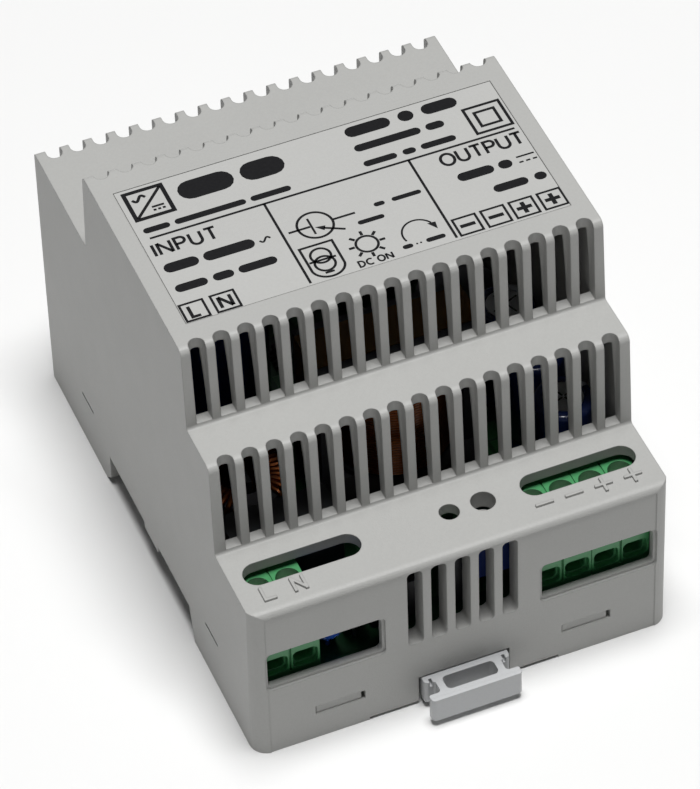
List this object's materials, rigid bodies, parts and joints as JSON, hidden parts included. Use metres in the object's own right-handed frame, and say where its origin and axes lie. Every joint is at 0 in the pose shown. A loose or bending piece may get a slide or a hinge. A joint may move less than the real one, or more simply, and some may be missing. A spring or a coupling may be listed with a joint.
{
  "type": "din rail power supply",
  "caption": "Stepped grey DIN rail power supply: vented cover, rail base with sprung latch, screw terminals, trimmer, status light and internal switching circuit.",
  "frame": {"origin": "centre of the rail seat, on the rail's centreline and the middle of the width", "axes": "+Z out of the label face away from the rail, -Y towards the terminals and the rail latch, +X across the width with the mains terminals on -X; the unit lies on its feet at z = -6.4 mm"},
  "size_m": [0.071, 0.0981, 0.0664],
  "materials": {
    "housing_plastic": "fine satin texture",
    "latch_plastic": "fine satin texture",
    "label_film": "printed film",
    "spring_steel": "bright",
    "board_laminate": "solder mask",
    "terminal_plastic": "moulded",
    "screw_steel": "zinc plated",
    "cage_metal": "nickel-plated brass",
    "contact_metal": "tinned",
    "led_lens": "tinted clear",
    "black_plastic": "moulded",
    "trimmer_plastic": "moulded",
    "spindle_plastic": "moulded",
    "blue_epoxy": "dipped epoxy",
    "dark_ceramic": "dipped",
    "film_capacitor_case": "moulded box",
    "ferrite": "ground ferrite",
    "copper_wire": "enamelled copper",
    "epoxy_package": "moulded epoxy",
    "capacitor_sleeve": "shrink sleeve",
    "heatsink_aluminium": "extruded",
    "thermal_pad": "soft pad",
    "core_tape": "polyester tape"
  },
  "bodies": {
    "housing": {"cover": "housing_plastic", "base": "housing_plastic", "label_plate": "label_film", "circuit_board": "board_laminate", "input_terminal_block": "terminal_plastic", "output_terminal_block_1": "terminal_plastic", "output_terminal_block_2": "terminal_plastic", "terminal_contacts": "contact_metal", "status_led": "led_lens", "led_spacer": "black_plastic", "control_board": "board_laminate", "trimmer_body": "trimmer_plastic", "varistor": "blue_epoxy", "inrush_limiter": "dark_ceramic", "input_fuse": "black_plastic", "x_capacitor": "film_capacitor_case", "choke_core": "ferrite", "choke_windings": "copper_wire", "choke_seat": "black_plastic", "bridge_rectifier": "epoxy_package", "bulk_capacitor": "capacitor_sleeve", "switch_heatsink": "heatsink_aluminium", "switch_transistor": "epoxy_package", "diode_heatsink": "heatsink_aluminium", "output_diode": "epoxy_package", "thermal_pads": "thermal_pad", "heatsink_screws": "screw_steel", "transformer_core_lower": "ferrite", "transformer_core_upper": "ferrite", "transformer_bobbin": "black_plastic", "transformer_winding": "copper_wire", "transformer_tape": "core_tape", "output_capacitor_1": "capacitor_sleeve", "output_capacitor_2": "capacitor_sleeve", "output_capacitor_3": "capacitor_sleeve", "output_choke_core": "ferrite", "output_choke_winding": "copper_wire", "optocoupler": "epoxy_package", "control_chip": "epoxy_package", "y_capacitor": "blue_epoxy", "latch_spring": "spring_steel"},
    "rail_latch": {"rail_latch": "latch_plastic"},
    "trimmer_spindle": {"trimmer_spindle": "spindle_plastic"},
    "screw_l": {"screw_l": "screw_steel"},
    "cage_l": {"cage_l": "cage_metal"},
    "screw_n": {"screw_n": "screw_steel"},
    "cage_n": {"cage_n": "cage_metal"},
    "screw_minus_1": {"screw_minus_1": "screw_steel"},
    "cage_minus_1": {"cage_minus_1": "cage_metal"},
    "screw_minus_2": {"screw_minus_2": "screw_steel"},
    "cage_minus_2": {"cage_minus_2": "cage_metal"},
    "screw_plus_1": {"screw_plus_1": "screw_steel"},
    "cage_plus_1": {"cage_plus_1": "cage_metal"},
    "screw_plus_2": {"screw_plus_2": "screw_steel"},
    "cage_plus_2": {"cage_plus_2": "cage_metal"}
  },
  "joints": [
    {"name": "latch_slide", "type": "slide", "parent": "housing", "child": "rail_latch", "axis": [0, -1, 0], "range_m": [0, 0.0035], "stiffness_N_per_m": 1200, "springref_m": -0.003, "deforming": ["latch_spring"]},
    {"name": "trimmer_turn", "type": "hinge", "parent": "housing", "child": "trimmer_spindle", "pos_m": [0.0071, -0.0377, 0.018], "axis": [0, 0, 1], "range_deg": [-135, 135]},
    {"name": "screw_l_turn", "type": "hinge", "parent": "housing", "child": "screw_l", "pos_m": [-0.03055, -0.0374, 0.01785], "axis": [0, 0, -1], "range_deg": [0, 1925]},
    {"name": "cage_l_rise", "type": "slide", "parent": "housing", "child": "cage_l", "axis": [0, 0, 1], "range_m": [0, 0.0024]},
    {"name": "screw_n_turn", "type": "hinge", "parent": "housing", "child": "screw_n", "pos_m": [-0.02555, -0.0374, 0.01785], "axis": [0, 0, -1], "range_deg": [0, 1925]},
    {"name": "cage_n_rise", "type": "slide", "parent": "housing", "child": "cage_n", "axis": [0, 0, 1], "range_m": [0, 0.0024]},
    {"name": "screw_minus_1_turn", "type": "hinge", "parent": "housing", "child": "screw_minus_1", "pos_m": [0.01555, -0.0374, 0.01785], "axis": [0, 0, -1], "range_deg": [0, 1925]},
    {"name": "cage_minus_1_rise", "type": "slide", "parent": "housing", "child": "cage_minus_1", "axis": [0, 0, 1], "range_m": [0, 0.0024]},
    {"name": "screw_minus_2_turn", "type": "hinge", "parent": "housing", "child": "screw_minus_2", "pos_m": [0.02055, -0.0374, 0.01785], "axis": [0, 0, -1], "range_deg": [0, 1925]},
    {"name": "cage_minus_2_rise", "type": "slide", "parent": "housing", "child": "cage_minus_2", "axis": [0, 0, 1], "range_m": [0, 0.0024]},
    {"name": "screw_plus_1_turn", "type": "hinge", "parent": "housing", "child": "screw_plus_1", "pos_m": [0.02555, -0.0374, 0.01785], "axis": [0, 0, -1], "range_deg": [0, 1925]},
    {"name": "cage_plus_1_rise", "type": "slide", "parent": "housing", "child": "cage_plus_1", "axis": [0, 0, 1], "range_m": [0, 0.0024]},
    {"name": "screw_plus_2_turn", "type": "hinge", "parent": "housing", "child": "screw_plus_2", "pos_m": [0.03055, -0.0374, 0.01785], "axis": [0, 0, -1], "range_deg": [0, 1925]},
    {"name": "cage_plus_2_rise", "type": "slide", "parent": "housing", "child": "cage_plus_2", "axis": [0, 0, 1], "range_m": [0, 0.0024]}
  ],
  "couplings": [
    {"joint": "screw_l_turn", "follows": "cage_l_rise", "rad_per_m": 13963},
    {"joint": "screw_n_turn", "follows": "cage_n_rise", "rad_per_m": 13963},
    {"joint": "screw_minus_1_turn", "follows": "cage_minus_1_rise", "rad_per_m": 13963},
    {"joint": "screw_minus_2_turn", "follows": "cage_minus_2_rise", "rad_per_m": 13963},
    {"joint": "screw_plus_1_turn", "follows": "cage_plus_1_rise", "rad_per_m": 13963},
    {"joint": "screw_plus_2_turn", "follows": "cage_plus_2_rise", "rad_per_m": 13963}
  ]
}
